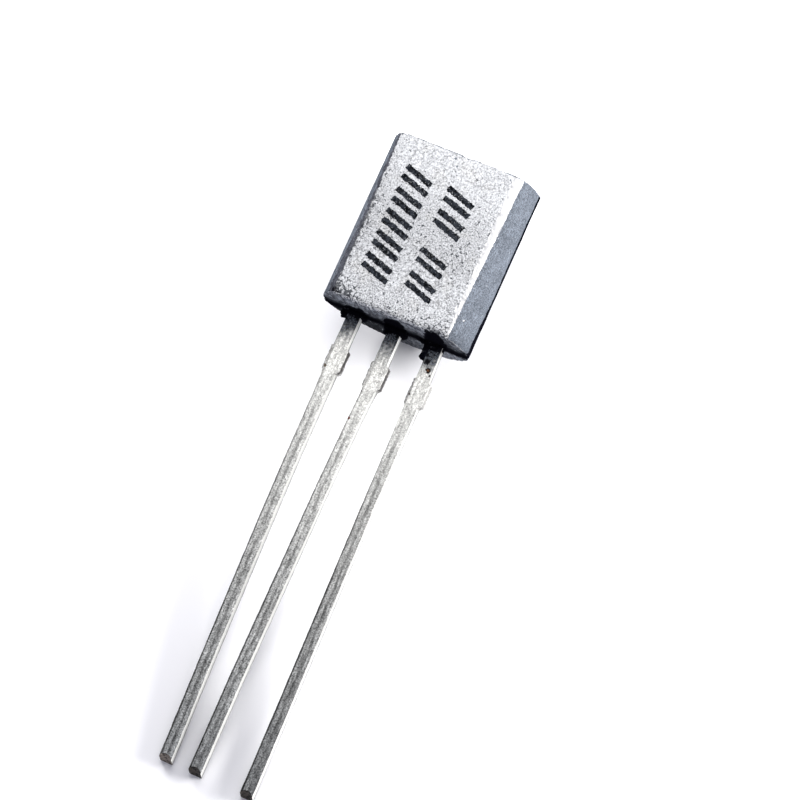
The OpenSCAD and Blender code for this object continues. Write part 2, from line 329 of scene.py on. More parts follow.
class Finish:
    """One material: a Principled surface, with patterns that read the piece's own place."""

    def __init__(self, name, roughness=0.5, metallic=0.0, specular=0.5):
        self.material = bpy.data.materials.new(name)
        self.material.use_nodes = True
        self.tree = self.material.node_tree
        self.surface = self.tree.nodes["Principled BSDF"]
        self.give("Roughness", roughness)
        self.give("Metallic", metallic)
        self.give("Specular IOR Level", specular)
        self.place = self.package_place()
        self.across, self.depth, self.height = worked("SeparateXYZ", {"Vector": self.place}).outputs

    def give(self, name, value):
        """Gives a socket of the surface a number, a colour or a link."""
        plug(self.surface.inputs[name], value)

    def package_place(self):
        """Object coordinates turned back into the package frame, in millimetres."""
        back = PACKAGE.inverted()
        turn = {"Location": back.translation, "Rotation": back.to_euler(), "Scale": (1 / MM,) * 3}
        own_place = add_node(self.tree, "TexCoord").outputs["Object"]
        return worked("Mapping", {"Vector": own_place, **turn}).outputs["Vector"]

    def stretched(self, *factors):
        """The place with each direction scaled, so that a pattern runs long where its factor is low."""
        return worked("Mapping", {"Vector": self.place, "Scale": factors}).outputs["Vector"]

    def carried(self, name):
        """A number that the piece's own points carry."""
        points = add_node(self.tree, "Attribute", attribute_type="GEOMETRY", attribute_name=name)
        return points.outputs["Fac"]

    def away_from(self, place):
        """Distance from a place in the package frame, in millimetres."""
        return worked("VectorMath", {0: self.place, 1: place}, operation="DISTANCE").outputs["Value"]

    def noise(self, size, detail=2, rough=0.5, place=None):
        """Cloudy noise, 0 to 1, with features of about that size in millimetres."""
        cloud = {"Scale": 1 / size, "Detail": detail, "Roughness": rough}
        return worked("TexNoise", {"Vector": place or self.place, **cloud}).outputs["Fac"]

    def veins(self, size, width, place=None):
        """Lines of 1 on 0 that wander between cells of about that size in millimetres."""
        place = place or self.place
        wander = worked("TexNoise", {"Vector": place, "Scale": 1.5 / size}).outputs["Color"]
        bent = worked("VectorMath", {0: wander, 1: (size,) * 3, 2: place}, operation="MULTIPLY_ADD")
        cells = {"Vector": bent.outputs[0], "Scale": 1 / size}
        edge = worked("TexVoronoi", cells, feature="DISTANCE_TO_EDGE").outputs["Distance"]
        return ramp(edge, width / size, 0.0)

    def painted(self, colour, relief, depth, strength=0.6):
        """The material with its colour, and with relief of that depth in millimetres."""
        bump = worked("Bump", {"Strength": strength, "Distance": depth * MM, "Height": relief})
        self.give("Base Color", colour)
        self.give("Normal", bump.outputs["Normal"])
        return self.material


# Size of the finest grain of the resin and the tin
FINE = 0.045
WHITE = (1.0, 1.0, 1.0)

# Spots, each a place in the package frame and a radius: a dark streak at the flat's lower left
# corner, nicks near the flat's top edge, and a pale fleck on the round side
CORNER_STREAK = (((-1.79, -1.39, 0.13), 0.1), ((-1.67, -1.44, 0.1), 0.07), ((-1.56, -1.44, 0.07), 0.045))
NICKS = (
    ((-0.12, -1.37, 4.9), 0.04), ((0.0, -1.37, 4.7), 0.035),
    ((0.03, -1.37, 5.05), 0.04), ((1.57, -1.37, 4.9), 0.035),
)
SIDE_FLECK = (((1.942, -1.155, 0.736), 0.035),)

# Flux spots on the leads: place along X, place along Z, radius and colour
LEAD_SPOTS = (
    (1.244, -0.547, 0.1, (0.002, 0.002, 0.003)),
    (1.179, -0.372, 0.055, (0.003, 0.003, 0.004)),
    (1.375, -0.777, 0.1, (0.01, 0.006, 0.005)),
    (1.375, -0.777, 0.04, (0.1, 0.045, 0.022)),
    (1.478, -0.908, 0.04, (0.06, 0.055, 0.055)),
    (1.162, -1.599, 0.045, (0.08, 0.072, 0.07)),
    (-0.156, -2.892, 0.055, (0.085, 0.03, 0.026)),
    (-0.154, -2.037, 0.04, (0.06, 0.045, 0.05)),
    (-1.406, -1.756, 0.05, (0.075, 0.06, 0.045)),
)


def spotted(finish, colour, spots, spot_colour):
    """A colour with small ragged spots."""
    for place, size in spots:
        ragged = shifted(finish.away_from(place), finish.noise(0.05), 0.3 * size)
        colour = mix(ramp(ragged, size, 0.7 * size), colour, spot_colour)
    return colour


def parting_line(finish, colour, stain, front):
    """Darkens a resin colour in a ragged band along the parting line."""
    past = less(shifted(finish.depth, finish.noise(0.11, 3, 0.6), 0.05), LEAD_BACK)
    band = zone((total(past, front), -0.02, 0.02), (past, 0.07, 0.03))
    return mix(band, colour, stain)


def flat_dirt_and_shade(finish, worn, grain, coarse):
    """Where the flat is darkened: dirt specks and a smear, a darker lower rim and left edge, and painted
    shade in a thin line along the top edge.
    """
    across, height = finish.across, finish.height
    darkening = shifted(total(0.3, product(worn, 0.14)), finish.noise(0.3, 2, 0.6), 0.03)
    specks = ramp(less(darkening, coarse), -0.05, 0.05, 0.0, 0.92)
    low = shifted(height, grain, 0.09)
    rim = ramp(low, 0.2, 0.03, 0.0, 0.7)
    edge = zone((shifted(across, coarse, 0.03), -1.745, -1.785), (height, 3.1, 2.3))
    beside = shifted(apart(across, 1.4), coarse, 0.08)
    smear = zone((low, 0.17, 0.06), (beside, 0.42, 0.25))
    # Painted shade along the top edge.
    crest = zone((height, BODY_HEIGHT - 0.065, BODY_HEIGHT - 0.045), (coarse, 0.4, 0.5, 0.3, 0.9))
    return most(specks, rim, edge, smear, crest)


def flat_finish(body):
    """Finely speckled resin, dirtier towards the lead end and the left edge. The flat is black resin: its
    silvery colour is the glare of the light on it, painted in, brighter towards the top and darker in a
    middle band, with painted glints from the grain.
    """
    finish = Finish("silvery_flat", roughness=0.42, specular=0.3)
    across, height = finish.across, finish.height
    grain = finish.noise(FINE, 2, 0.65)
    coarse = finish.noise(0.09, 2, 0.6)
    middle = ramp(apart(height, 2.6), 1.7, 0.3, 0.0, 0.45)
    tone = less(ramp(height, 0.3, 4.9, 0.97, 1.1, "LINEAR"), product(middle, 0.33))
    glitter = around_one(grain, ramp(height, 0.5, 4.5, 0.76, 0.58, "LINEAR"))
    ground = scaled(body.flat_colour, product(tone, glitter))
    cloud = ramp(finish.noise(0.7, 2, 0.5), 0.5, 0.7, 0.0, 0.6)
    tinted = mix(cloud, ground, scaled(ground, 0.93))
    tinted = mix(cloud, tinted, (1.0, 0.985, 0.95), "MULTIPLY")
    low = ramp(height, 0.85, 0.0)
    left = zone((across, -1.55, -1.8), (height, 5.0, 2.5, 0.4, 1.0))
    corner = product(ramp(across, -1.0, -1.3), low)
    right = ramp(across, 0.2, 1.2, 0.0, 0.1)
    worn = total(low, left, corner, right, middle)
    dirtied_and_shaded = mix(flat_dirt_and_shade(finish, worn, grain, coarse), tinted, body.speck_colour)
    nicked = spotted(finish, dirtied_and_shaded, NICKS, body.side_colour)
    return finish.painted(spotted(finish, nicked, CORNER_STREAK, body.stain_colour), grain, 0.01)


def facet_finish(body):
    """Smooth resin of the facet on the emitter side, painted bright as a highlight of the light on it,
    with a few grey specks.
    """
    finish = Finish("bright_facet", roughness=0.3, specular=0.6)
    grain = finish.noise(0.05, 3, 0.6)
    specked = mix(ramp(grain, 0.44, 0.28, 0.0, 0.7), body.facet_colour, body.side_colour)
    low = ramp(shifted(finish.height, grain, 0.06), 0.22, 0.1)
    return finish.painted(mix(low, specked, body.speck_colour), grain, 0.004, 0.4)


def side_finish(body):
    """Mid-grey resin of the round side, finely grained and smudged. On the collector side it carries
    painted shade and painted light: a dark line beside the flat and a lighter stripe behind it. A painted
    highlight runs along its edge at the lead end, and beside the emitter-side facet it takes the facet's
    painted highlight.
    """
    finish = Finish("round_side", roughness=0.5, specular=0.0)
    across, depth, height = finish.across, finish.depth, finish.height
    grain = finish.noise(FINE, 3, 0.7)
    smudge = finish.noise(0.15, 3, 0.6, finish.stretched(1, 1, 0.7))
    cloud = ramp(finish.noise(0.5, 4, 0.6), NOISE_LOW, NOISE_HIGH, 0.84, 1.16, "LINEAR")
    fine = ramp(grain, 0.36, 0.64, 0.5, 1.5, "LINEAR")
    rise = ramp(height, 0.0, 0.5, 0.7, 1.0)
    collector_side = ramp(across, -1.65, -1.8)
    smudged = around_one(smudge, total(0.12, product(collector_side, 0.3)))
    tone = scaled(body.side_colour, product(cloud, fine, rise, smudged))
    # Painted shade and painted light along the collector side: a dark line beside the flat, a lighter
    # stripe behind it.
    reach = shifted(depth, smudge, 0.12)
    left_light_bands = zone((reach, -1.15, -0.8, 0.13, 1.15), (depth, -0.75, -0.5, 1.0, 0.6))
    dulled = mix(collector_side, WHITE, scaled((4.9, 4.55, 4.6), left_light_bands))
    tone = mix(1.0, tone, dulled, "MULTIPLY")
    speckled = mix(ramp(finish.noise(0.07, 2, 0.6), 0.69, 0.76), tone, body.flat_colour)
    # A painted highlight along the edge at the lead end.
    lit_edge = scaled(speckled, ramp(height, 0.055, 0.035, 1.0, 2.0))
    flecked = spotted(finish, lit_edge, SIDE_FLECK, body.facet_colour)
    # Beside the emitter-side facet, the side takes the facet's painted highlight.
    beyond = shifted(less(across, product(height, 0.024)), smudge, 0.03)
    facet_highlight_spill = zone((beyond, 1.77, 1.745), (across, 0.5, 1.0), (depth, -0.9, -1.1))
    worn = mix(facet_highlight_spill, flecked, body.facet_colour)
    streaked = spotted(finish, worn, CORNER_STREAK, body.stain_colour)
    thick = ramp(height, 1.9, 0.5, 0.24, 0.38)
    return finish.painted(parting_line(finish, streaked, body.stain_colour, thick), grain, 0.006)


def black_lobes(finish, smudge, grain, low):
    """Where the lead end is black, in lobes between the leads."""
    from_flat = shifted(finish.depth, finish.noise(0.25, 3, 0.6), 0.12)
    from_flat = shifted(from_flat, grain, 0.06)
    to_lead = maths("PINGPONG", less(finish.across, FRAME_SHIFT), LEAD_PITCH / 2)
    to_lead = shifted(to_lead, smudge, 0.07)
    rising = (finish.across, -1.3, 1.3, 0.3, 1.15, "LINEAR")
    bulge = zone((to_lead, 0.42, 0.2), rising, (apart(finish.across), 1.75, 1.6))
    between = ramp(from_flat, -0.85, -0.02)
    beside = zone((total(from_flat, bulge), -0.32, -0.18), (bulge, 0.0, 0.1))
    rear = ramp(from_flat, 0.78, 0.35)
    return product(most(between, beside), rear, low)


def end_finish(body):
    """Smudged resin of the end faces. The lead end is painted lighter than the resin as painted light,
    and the top end keeps the side's colour. Behind the parting line the lead end darkens towards the
    collector side; beside the emitter lead its front is painted darker as painted shade, with a painted
    highlight along its rim. It is black in lobes between the leads.
    """
    finish = Finish("dark_end", roughness=0.6, specular=0.0)
    across, depth = finish.across, finish.depth
    grain = finish.noise(0.07, 3, 0.7, finish.stretched(1, 0.35, 1))
    smudge = finish.noise(0.16, 3, 0.6)
    low = ramp(finish.height, 1.0, 0.5)
    behind = product(ramp(depth, 0.1, 0.5), low)
    fading = total(1.0, product(behind, ramp(across, -0.9, 2.3, -0.84, 0.1)))
    fine = around_one(grain, ramp(low, 0.0, 1.0, 0.2, 0.75, "LINEAR"))
    coarse = around_one(smudge, ramp(low, 0.0, 1.0, 0.08, 0.55, "LINEAR"))
    # The lead end's lighter colour is painted light, for a face that gets little light.
    ground = mix(low, body.side_colour, body.end_colour)
    tone = scaled(ground, product(fine, coarse, fading))
    in_front = product(low, ramp(depth, 0.0, -0.2))
    right = (shifted(across, smudge, 0.12), 1.95, 1.75, 0.0, 0.45)
    # Painted shade in front, beside the emitter lead.
    shade = product(zone(right, (across, 1.55, 1.65)), in_front)
    tone = scaled(tone, less(1.0, shade))
    # A painted highlight along the rim.
    edge = (finish.away_from((0, 0, 0)), BODY_RADIUS - 0.065, BODY_RADIUS - 0.045, 0.0, 0.6)
    rim = product(zone(edge, (across, 1.7, 1.8)), in_front)
    tone = mix(rim, tone, body.flat_colour)
    past = less(grain, ramp(depth, -1.44, -0.95, 0.45, 0.66))
    fleck = product(ramp(past, 0.0, 0.06, 0.0, 0.8), low)
    flecked = mix(fleck, tone, [1.7 * part for part in body.flat_colour])
    black = black_lobes(finish, smudge, grain, low)
    return finish.painted(mix(black, flecked, body.stain_colour), grain, 0.01)


def black_resin_finish(body):
    """Black resin that crept down the leads."""
    finish = Finish("black_resin", roughness=0.5, specular=0.0)
    lumps = finish.noise(0.09, 3, 0.6)
    colour = mix(ramp(lumps, 0.6, 0.8, 0.0, 0.3), body.stain_colour, body.end_colour)
    return finish.painted(colour, lumps, 0.02, 0.8)


# Down this far along a lead, the tin is as grimy as it gets
GRIMY_FROM = -9.0


def lead_lines(finish):
    """Darkness of the two lines along a lead's front: along its rolled left edge, partly the edge's burr
    and partly painted shade on the edge, and along the shallow groove.
    """
    across, height = finish.carried("across"), finish.height
    wander = finish.noise(0.9, 2, 0.6, finish.stretched(0.6, 0, 1))
    broken = finish.noise(0.35, 3, 0.6, finish.stretched(0.8, 0, 1))
    edge = shifted(across, wander, 0.01)
    edge = zone((edge, -0.11, -0.15), (height, STUB_LOW, GRIMY_FROM, 0.4, 0.75))
    groove = apart(shifted(across, wander, 0.02), 0.03)
    faint = (height, -2.3, -3.4, 0.0, 0.5)
    groove = zone((groove, 0.065, 0.01), (broken, 0.3, 0.6, 0.4, 1.0), faint)
    return most(edge, groove)


def tin_clean(finish, grime_and_shade, dulled, lined):
    """How clean the tin is, 1 where no crinkle or line darkens it, nor the outer side's duller tin."""
    deep = ramp(finish.height, -2.8, STUB_LOW, 0.22 * grime_and_shade, 0.32 * grime_and_shade)
    crinkle = product(finish.veins(0.11, 0.022, finish.stretched(1, 1, 0.7)), deep)
    outer = zone((finish.across, 0.8, 1.2), (finish.height, -2.4, -4.5, 0.0, 0.2 * dulled))
    clean = product(less(1.0, outer), less(1.0, crinkle))
    return product(clean, less(1.0, lead_lines(finish))) if lined else clean


def tin_mottle(finish, grain, grime_and_shade):
    """The tin's mottled brightness, stronger down the lead: grain, blotches and fine streaks."""
    blotch = finish.noise(0.12, 2, 0.6, finish.stretched(1, 1, 0.6))
    streaks = finish.noise(0.06, 2, 0.6, finish.stretched(1, 1, 0.08))
    aged = ramp(finish.height, STUB_LOW, GRIMY_FROM, 0.75 * grime_and_shade, 1.3 * grime_and_shade, "LINEAR")
    swings = ((grain, 0.62), (blotch, 0.22), (streaks, 0.3))
    mottle = [around_one(each, product(aged, swing)) for each, swing in swings]
    return product(*mottle)


def lit_level(finish, level, lift):
    """Brightness of the side that faces the lamp, with a shade by the body and a thin rear line."""
    height = finish.height
    lifted = ramp(height, -1.5, -0.6, level, level + lift)
    shade = zone((finish.across, 0.8, 1.2), (height, STUB_LOW, -1.0, 0.0, 0.5))
    rear = (finish.depth, LEAD_FRONT + 0.26, LEAD_FRONT + 0.36, 1.0, 0.22)
    lower = zone((height, -8.0, -12.0, 1.0, 1.35), rear)
    return product(lifted, less(1.0, shade), lower)


def tin_body_shade(finish, lead, tin, grain, grime_and_shade):
    """Tin darkened close to the body, partly painted shade and reflection of the dark body, partly a
    black film of resin right at it, fading out below.
    """
    reach_from_body = shifted(finish.height, finish.noise(0.12, 3, 0.7), 0.2)
    reach_from_body = total(reach_from_body, ramp(apart(finish.across), 0.8, 0.4, 0.0, 0.05))
    dark = ramp(shifted(reach_from_body, grain, 0.12), -0.95, -0.35, 0.0, grime_and_shade)
    darkening = scaled(lead.body_shade_colour, ramp(grain, 0.38, 0.68, 0.2, 4.5))
    film = ramp(reach_from_body, -0.22, -0.12, 0.0, grime_and_shade)
    return mix(film, mix(dark, tin, darkening), [0.1 * part for part in lead.body_shade_colour])


def tin_finish(lead, name, level=1.0, grime_and_shade=1.0, dulled=1.0, metallic=0.1, lift=0.0):
    """Tinned metal: darkened at the body, partly as painted shade and reflection of the dark body, fresh
    and creamy at the stubs, darker and greyer towards the tips. With a lift, it is the lit copy for the
    side that faces the lamp, with painted light and shade from lit_level.
    """
    finish = Finish(name, roughness=0.4, metallic=metallic, specular=0.05)
    height = finish.height
    age = ramp(height, -2.0, LEAD_TIP, 0.0, dulled, "LINEAR")
    new = ramp(height, -2.05, -1.75)
    worn = mix(new, mix(age, lead.worn_colour, lead.far_colour), lead.near_colour)
    grain = finish.noise(FINE, 2, 0.7)
    clean = tin_clean(finish, grime_and_shade, dulled, not lift)
    level = lit_level(finish, level, lift) if lift else level
    bright = product(tin_mottle(finish, grain, grime_and_shade), clean, level)
    pits = ramp(finish.noise(0.1, 2, 0.5), 0.28, 0.22, 0.0, 0.8 * grime_and_shade)
    pitted = mix(pits, scaled(worn, bright), lead.cut_colour)
    stained = tin_body_shade(finish, lead, pitted, grain, grime_and_shade)
    for x, z, size, colour in LEAD_SPOTS:
        stained = spotted(finish, stained, [((x, LEAD_FRONT, z), size)], colour)
    finish.give("Roughness", ramp(grain, NOISE_LOW, NOISE_HIGH, 0.34, 0.5, "LINEAR"))
    return finish.painted(stained, grain, 0.006, 0.5)


def stub_finish(lead):
    """Pale tin where a dam bar was punched off, with a dark torn line along its front edge."""
    finish = Finish("torn_stub", roughness=0.5, metallic=0.6)
    grain = finish.noise(0.06, 4, 0.7)
    front = shifted(shifted(finish.depth, finish.noise(0.09, 2, 0.6), 0.05), grain, 0.05)
    front = (front, LEAD_FRONT + 0.36, LEAD_FRONT + 0.24, 0.15, 0.95)
    from_middle = shifted(apart(finish.height, (STUB_TOP + STUB_LOW) / 2), grain, 0.06)
    torn = zone(front, (finish.across, 0.6, 1.2, 1.0, 0.45), (from_middle, 0.42, 0.34))
    crinkle = less(1.0, product(finish.veins(0.14, 0.026), 0.32))
    level = product(ramp(grain, NOISE_LOW, NOISE_HIGH, 0.75, 1.1), crinkle)
    pale = scaled(lead.near_colour, level)
    return finish.painted(mix(torn, pale, lead.cut_colour), grain, 0.02, 1.0)


def tip_finish(lead):
    """Dark, torn metal of the cut tips, browner and paler on the collector lead."""
    finish = Finish("cut_tip", roughness=0.55, specular=0.15)
    grain = finish.noise(0.06, 4, 0.7)
    pale = ramp(finish.across, -0.7, -0.3, 0.42, 0.1)
    bare = mix(1.0, scaled(lead.near_colour, pale), (1.0, 0.86, 0.78), "MULTIPLY")
    dark = scaled(lead.cut_colour, ramp(finish.across, -0.7, -0.3, 2.0, 0.3))
    share = shifted(ramp(finish.noise(0.14, 2, 0.6), 0.4, 0.6), grain, 0.3)
    return finish.painted(mix(share, dark, bare), grain, 0.02, 1.0)


def ink_finish(marks, body):
    """Black ink, worn through to the flat in small specks."""
    finish = Finish("black_ink", roughness=0.5, specular=0.0)
    grain = finish.noise(0.05, 2, 0.7)
    ink = scaled(marks.ink_colour, ramp(finish.noise(0.09, 2, 0.6), 0.35, 0.65, 0.3, 3.0))
    worn = mix(ramp(grain, 0.58, 0.7, 0.0, 0.4), ink, body.flat_colour)
    return finish.painted(worn, grain, 0.01)


def inner_finish(name, colour, metallic, roughness, grain_size):
    """A sealed piece's own metal or silicon."""
    finish = Finish(name, roughness=roughness, metallic=metallic)
    grain = finish.noise(grain_size, 2, 0.5)
    mottled = mix(ramp(grain, 0.35, 0.65), colour, [0.8 * part for part in colour])
    return finish.painted(mottled, grain, 0.001, 0.3)


# ---- Mesh tools ----

# Edges that turn more than this are shaded sharp
SHARP_ANGLE = math.radians(35)


def with_corners(faces):
    """The given faces with their corners and edges, each once, as the operators take them."""
    verts = dict.fromkeys(vert for face in faces for vert in face.verts)
    edges = dict.fromkeys(edge for face in faces for edge in face.edges)
    return [*verts, *edges, *faces]


def only(kind, parts):
    """Those of the parts that are of one kind."""
    return [part for part in parts if isinstance(part, kind)]


def new_object(name, data):
    """An object that stands in the scene."""
    made = bpy.data.objects.new(name, data)
    bpy.context.scene.collection.objects.link(made)
    return made


def mesh_object(name, bm, materials):
    """An object of a finished mesh, with its materials."""
    mesh = bpy.data.meshes.new(name)
    bm.to_mesh(mesh)
    bm.free()
    for material in materials:
        mesh.materials.append(material)
    return new_object(name, mesh)


def finish_piece(name, bm, materials, slot, *nodes):
    """Lays a package-frame mesh down, none of it below the floor, as a piece that rides on the root."""
    bmesh.ops.transform(bm, matrix=PACKAGE, verts=bm.verts)
    for vert in bm.verts:
        vert.co.z = max(0.0, vert.co.z)
    bmesh.ops.recalc_face_normals(bm, faces=bm.faces)
    piece = mesh_object(name, bm, materials)
    piece.data.shade_smooth()
    piece.data.set_sharp_from_angle(angle=SHARP_ANGLE)
    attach(piece, ROOT)
    if nodes:
        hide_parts(*nodes)


def cut_away(bm, point, outward, finish):
    """Cuts a block off at a plane and closes it with a face of that finish."""
    cut = bmesh.ops.bisect_plane(
        bm, geom=with_corners(bm.faces), dist=1e-5, plane_co=point, plane_no=outward, clear_outer=True)
    rim = only(bmesh.types.BMEdge, cut["geom_cut"])
    for face in bmesh.ops.holes_fill(bm, edges=rim, sides=0)["faces"]:
        face.material_index = finish


def slice_faces(bm, faces, axis, places):
    """Cuts the given faces across an axis at each place."""
    outward = Vector([float(i == axis) for i in range(3)])
    for place in places:
        cut = bmesh.ops.bisect_plane(
            bm, geom=with_corners(faces), dist=1e-4, plane_co=outward * place, plane_no=outward)
        faces = only(bmesh.types.BMFace, cut["geom"])
    return faces


def steps(low, high, step):
    """Evenly spaced places between two ends, about a step apart."""
    count = max(2, round((high - low) / step))
    return [low + (high - low) * i / count for i in range(1, count)]


def round_edges(bm, edges, offset, segments, clamped=True):
    """Rounds the given edges."""
    return bmesh.ops.bevel(
        bm, geom=edges, offset=offset, offset_type="OFFSET", segments=segments, profile=0.5,
        affect="EDGES", clamp_overlap=clamped, material=-1)


def gaps_to_tagged(bm, tag):
    """Distance from each vertex to the nearest tagged face's corner."""
    layer = bm.faces.layers.int[tag]
    tagged = [v.co for v in bm.verts if any(f[layer] for f in v.link_faces)]
    tree = kdtree.KDTree(len(tagged))
    for index, point in enumerate(tagged):
        tree.insert(point, index)
    tree.balance()
    return {v: tree.find(v.co)[2] for v in bm.verts}


def ease(value, low, high):
    """0 at low and 1 at high, smooth in between."""
    share = min(1.0, max(0.0, (value - low) / (high - low)))
    return share * share * (3 - 2 * share)


def move_all(shifts):
    """Moves each vertex by its shift, once all the shifts are known."""
    for vert, shift in shifts.items():
        vert.co += shift


# ---- Moulded body ----

FLAT, FACET, SIDE, END = range(4)
# Edges that turn more than this are moulded edges, which are rounded and worn
EDGE_ANGLE = math.radians(12)
# Chips in the flat's edges: place along X, place along Z, width, depth
CHIPS = ((0.2, BODY_HEIGHT, 0.34, 0.04), (FRAME_SHIFT + LEAD_PITCH, 0.0, 0.7, 0.07))
# How far from an edge each kind of wear reaches
NIBBLE_REACH = 0.1
TOOTH_REACH = 0.05
CHIP_REACH = 0.14


def block_faces():
    """The planes that shape the round bar: a point, the outward direction and the finish."""
    yield Vector((0, -FLAT_DEPTH, 0)), Vector((0, -math.cos(FLAT_LEAN), math.sin(FLAT_LEAN))), FLAT
    for side in (-1, 1):
        outward = Vector((0, -math.cos(FACET_LEAN), math.sin(FACET_LEAN)))
        outward.rotate(Euler((0, 0, side * FACET_TURN)))
        yield Vector((side * FLAT_WIDTH / 2, -FLAT_DEPTH, 0)), outward, FACET if side > 0 else FLAT
    for end, height in ((-1, 0.0), (1, BODY_HEIGHT)):
        for half in (-1, 1):
            outward = Vector((0, half * math.sin(END_DRAFT), end * math.cos(END_DRAFT)))
            yield Vector((0, LEAD_BACK, height)), outward, END


def slice_finishes(bm, finishes, axis, places):
    """Cuts the faces of the given finishes across an axis at each place."""
    slice_faces(bm, [face for face in bm.faces if face.material_index in finishes], axis, places)


def resin_block(settings):
    """The moulded block: a round bar cut flat in front and drafted at both ends."""
    bm = bmesh.new()
    bm.faces.layers.int.new("edge")
    bmesh.ops.create_cone(
        bm, cap_ends=True, segments=settings.round_steps, radius1=BODY_RADIUS, radius2=BODY_RADIUS,
        depth=2 * BODY_HEIGHT, matrix=Matrix.Translation((0, 0, BODY_HEIGHT / 2)))
    for face in bm.faces:
        face.material_index = SIDE
    for point, outward, finish in block_faces():
        cut_away(bm, point, outward, finish)
    edges = [e for e in bm.edges if e.is_manifold and e.calc_face_angle(0) > EDGE_ANGLE]
    rounded = round_edges(bm, edges, settings.edge_round / MM, 2)
    layer = bm.faces.layers.int["edge"]
    for face in rounded["faces"]:
        face[layer] = 1
    grid = settings.grid / MM
    slice_finishes(bm, (FLAT, FACET), 2, steps(0, BODY_HEIGHT, grid))
    slice_finishes(bm, (SIDE,), 2, steps(0, BODY_HEIGHT, 2 * grid))
    slice_finishes(bm, (FLAT, FACET), 0, steps(-BODY_RADIUS, BODY_RADIUS, grid))
    slice_finishes(bm, (END,), 0, steps(-BODY_RADIUS, BODY_RADIUS, 1.5 * grid))
    slice_finishes(bm, (END,), 1, steps(-FLAT_DEPTH, BODY_RADIUS, 1.5 * grid))
    beside_flash = [LEAD_BACK + way * FLASH_OUT for way in (-1.3, -0.4, 0.4, 1.3)]
    slice_finishes(bm, (SIDE, END), 1, beside_flash)
    return bm


def nibble(point, gap, depth):
    """Depth of the small losses along an edge, at a gap from it."""
    coarse = noise.noise(point * 3.1 + Vector((7, 3, 1)))
    fine = noise.noise(point * 9.0 + Vector((2, 5, 9)))
    left = ease(-point.x, 1.2, 1.8)
    low = ease(point.z, 0.5, 0.0)
    loss = ease(0.55 * coarse + 0.45 * fine, 0.08, 0.45) * (0.35 + 0.5 * left + 0.4 * low)
    tooth = ease(noise.noise(point * 15), -0.15, 0.4) * ease(gap, TOOTH_REACH, 0.0)
    return depth * min(1.0, loss * ease(gap, NIBBLE_REACH, 0.0) + 0.5 * tooth)


def chip(point, gap):
    """Depth of the larger chips in the flat's edges."""
    deepest = 0.0
    for x, z, width, depth in CHIPS:
        if abs(point.z - z) < width and point.y < 0.3 - FLAT_DEPTH:
            across = (point.x - x) / (width / 2)
            ragged = 1 + 0.4 * noise.noise(point * 11)
            deepest = max(deepest, depth * ragged * max(0.0, 1 - across * across))
    return deepest * ease(gap, CHIP_REACH, 0.0)


def flash(point):
    """Height of the flash along the parting line."""
    crest = ease(abs(point.y - LEAD_BACK), FLASH_OUT, 0.0)
    broken = ease(noise.noise(point * 2.3), -0.3, 0.3)
    return crest * FLASH_OUT * (0.3 + 0.65 * broken)


def wear_block(bm, settings):
    """Moves the block's surface: nibbled edges, two chips and the flash."""
    gaps = gaps_to_tagged(bm, "edge")
    bm.normal_update()
    shifts = {}
    for vert, gap in gaps.items():
        depth = nibble(vert.co, gap, settings.edge_wear / MM) + chip(vert.co, gap)
        shifts[vert] = vert.normal * (flash(vert.co) - depth)
    move_all(shifts)
    # The rounded edges of the flat and the facet that face up or down take the darker end finish, as
    # painted shade where the edges turn away.
    layer = bm.faces.layers.int["edge"]
    for face in bm.faces:
        if face[layer] and face.material_index in (FLAT, FACET) and abs(face.normal.z) > 0.3:
            face.material_index = END


class TRANSISTOR_OT_moulded_body(bpy.types.Operator):
    """Builds the moulded resin body with its worn edges and parting-line flash"""

    bl_idname = "transistor.moulded_body"
    bl_label = "Moulded body"

    def execute(self, context):
        body = context.scene.transistor_body
        bm = resin_block(body)
        wear_block(bm, body)
        materials = [flat_finish(body), facet_finish(body), side_finish(body), end_finish(body)]
        finish_piece("resin_body", bm, materials, "moulded_resin", "moulded_body")
        return {"FINISHED"}


# ---- Resin at the leads ----

# Lumps of black resin in each piece: their middle beside its lead's, and their size
LUMPS = {
    "collector_lead": (((0.0, 0.15, 0.0), (0.68, 0.62, 0.26)), ((-0.3, 0.12, -0.05), (0.24, 0.4, 0.42))),
    "base_lead": (((0.0, 0.15, 0.0), (0.68, 0.62, 0.36)), ((-0.2, 0.1, -0.08), (0.2, 0.4, 0.4))),
    "emitter_lead": (((-0.06, 0.15, 0.0), (0.58, 0.62, 0.4)), ((-0.36, 0.16, 0.0), (0.34, 0.34, 0.14))),
}
TAB_LUMP = ((-0.25, 0.09, -0.26), (0.19, 0.36, 0.56))
# How far the lumps' surface wanders, and the step from one piece's pattern to the next
LUMP_RAGGED = 0.05
LUMP_SEED = 5


def inside_box(point, centre, size):
    return all(abs(point[i] - centre[i]) <= size[i] / 2 + 1e-4 for i in range(3))


def lump(bm, centre, size, seed):
    """A rough rounded lump of resin, boxed at a centre with a size."""
    matrix = Matrix.Translation(centre) @ Matrix.Diagonal((*size, 1))
    made = bmesh.ops.create_cube(bm, size=1, matrix=matrix)
    edges = list(dict.fromkeys(edge for vert in made["verts"] for edge in vert.link_edges))
    rounded = round_edges(bm, edges, 0.3 * min(size), 3)
    faces = dict.fromkeys(face for vert in rounded["verts"] for face in vert.link_faces)
    edges = list(dict.fromkeys(edge for face in faces for edge in face.edges))
    bmesh.ops.subdivide_edges(bm, edges=edges, cuts=3, use_grid_fill=True)
    for vert in bm.verts:
        if inside_box(vert.co, centre, size):
            away = (vert.co - centre).normalized()
            vert.co += away * LUMP_RAGGED * (noise.noise(vert.co * 9 + Vector((seed, 0, 0))) - 0.3)


